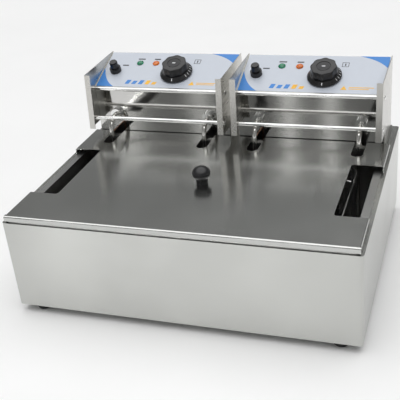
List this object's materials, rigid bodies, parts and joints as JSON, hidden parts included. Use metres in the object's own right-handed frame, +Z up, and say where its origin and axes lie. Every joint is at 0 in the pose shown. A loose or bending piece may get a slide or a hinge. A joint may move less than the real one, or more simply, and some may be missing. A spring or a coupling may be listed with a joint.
{
  "type": "deep fryer",
  "caption": "Counter-top electric deep fryer with a wide stainless tank, lid and basket, and twin lift-off control heads with thermostat dials and immersion elements.",
  "frame": {"origin": "on the table under the middle of the whole machine's box", "axes": "+X along the front to the right, +Y from the front to the back, +Z up"},
  "size_m": [0.56, 0.4616, 0.3087],
  "materials": {
    "stainless": "satin",
    "mirror_stainless": "polished",
    "chrome_steel": "polished",
    "element_steel": "satin",
    "copper": "satin",
    "rubber": "matte",
    "black_plastic": "semi-gloss",
    "black_nylon": "satin",
    "moulded_insulator": "matte",
    "overlay_print": "satin",
    "green_lens": "gloss",
    "orange_lens": "gloss"
  },
  "bodies": {
    "root": {"outer_casing": "stainless", "base_plate": "stainless", "tank": "stainless", "rear_deck": "stainless", "feet": "rubber", "foot_screws": "chrome_steel"},
    "lid": {"lid": "mirror_stainless", "lid_knob": "black_plastic", "lid_knob_screw": "chrome_steel"},
    "basket": {"basket_frame": "chrome_steel", "basket_mesh": "chrome_steel"},
    "left_handle": {"left_basket_handle": "chrome_steel"},
    "right_handle": {"right_basket_handle": "chrome_steel"},
    "left_head": {"left_outer_side_plate": "stainless", "left_inner_side_plate": "stainless", "left_control_panel": "stainless", "left_front_panel": "mirror_stainless", "left_back_cover": "stainless", "left_cover_screws": "chrome_steel", "left_panel_overlay": "overlay_print", "left_upper_rail": "chrome_steel", "left_lower_rail": "chrome_steel", "left_rail_screws": "chrome_steel", "left_thermostat": "moulded_insulator", "left_sensor_bulb": "copper", "left_reset_nut": "black_nylon", "left_safety_cutout": "moulded_insulator", "left_green_lamp": "green_lens", "left_orange_lamp": "orange_lens", "left_heating_element": "element_steel", "left_element_nuts": "chrome_steel", "left_terminal_block": "moulded_insulator", "left_cable_gland": "black_nylon"},
    "left_dial": {"left_thermostat_knob": "black_plastic", "left_thermostat_spindle": "chrome_steel"},
    "left_reset": {"left_reset_button": "black_plastic"},
    "right_head": {"right_outer_side_plate": "stainless", "right_inner_side_plate": "stainless", "right_control_panel": "stainless", "right_front_panel": "mirror_stainless", "right_back_cover": "stainless", "right_cover_screws": "chrome_steel", "right_panel_overlay": "overlay_print", "right_upper_rail": "chrome_steel", "right_lower_rail": "chrome_steel", "right_rail_screws": "chrome_steel", "right_thermostat": "moulded_insulator", "right_sensor_bulb": "copper", "right_reset_nut": "black_nylon", "right_safety_cutout": "moulded_insulator", "right_green_lamp": "green_lens", "right_orange_lamp": "orange_lens", "right_heating_element": "element_steel", "right_element_nuts": "chrome_steel", "right_terminal_block": "moulded_insulator", "right_cable_gland": "black_nylon"},
    "right_dial": {"right_thermostat_knob": "black_plastic", "right_thermostat_spindle": "chrome_steel"},
    "right_reset": {"right_reset_button": "black_plastic"}
  },
  "joints": [
    {"name": "lid_lift_off", "type": "slide", "parent": "root", "child": "lid", "axis": [0, -0.9397, 0.342], "range_m": [0, 0.36]},
    {"name": "basket_lift", "type": "slide", "parent": "root", "child": "basket", "axis": [0, 0, 1], "range_m": [0, 0.01]},
    {"name": "left_handle_swing", "type": "hinge", "parent": "basket", "child": "left_handle", "pos_m": [-0.228, -0.0593, 0.148], "axis": [0, -1, 0], "range_deg": [-10, 9]},
    {"name": "right_handle_swing", "type": "hinge", "parent": "basket", "child": "right_handle", "pos_m": [0.228, -0.0593, 0.148], "axis": [0, 1, 0], "range_deg": [-10, 9]},
    {"name": "left_head_lift", "type": "slide", "parent": "root", "child": "left_head", "axis": [0, 0, 1], "range_m": [0, 0.01]},
    {"name": "left_dial_turn", "type": "hinge", "parent": "left_head", "child": "left_dial", "pos_m": [-0.1159, 0.15863, 0.27825], "axis": [0, 0.3469, -0.9379], "range_deg": [0, 270]},
    {"name": "left_reset_press", "type": "slide", "parent": "left_head", "child": "left_reset", "axis": [0, 0.3469, -0.9379], "range_m": [0, 0.003], "stiffness_N_per_m": 400, "springref_m": -0.002},
    {"name": "right_head_lift", "type": "slide", "parent": "root", "child": "right_head", "axis": [0, 0, 1], "range_m": [0, 0.01]},
    {"name": "right_dial_turn", "type": "hinge", "parent": "right_head", "child": "right_dial", "pos_m": [0.1569, 0.15863, 0.27825], "axis": [0, 0.3469, -0.9379], "range_deg": [0, 270]},
    {"name": "right_reset_press", "type": "slide", "parent": "right_head", "child": "right_reset", "axis": [0, 0.3469, -0.9379], "range_m": [0, 0.003], "stiffness_N_per_m": 400, "springref_m": -0.002}
  ]
}
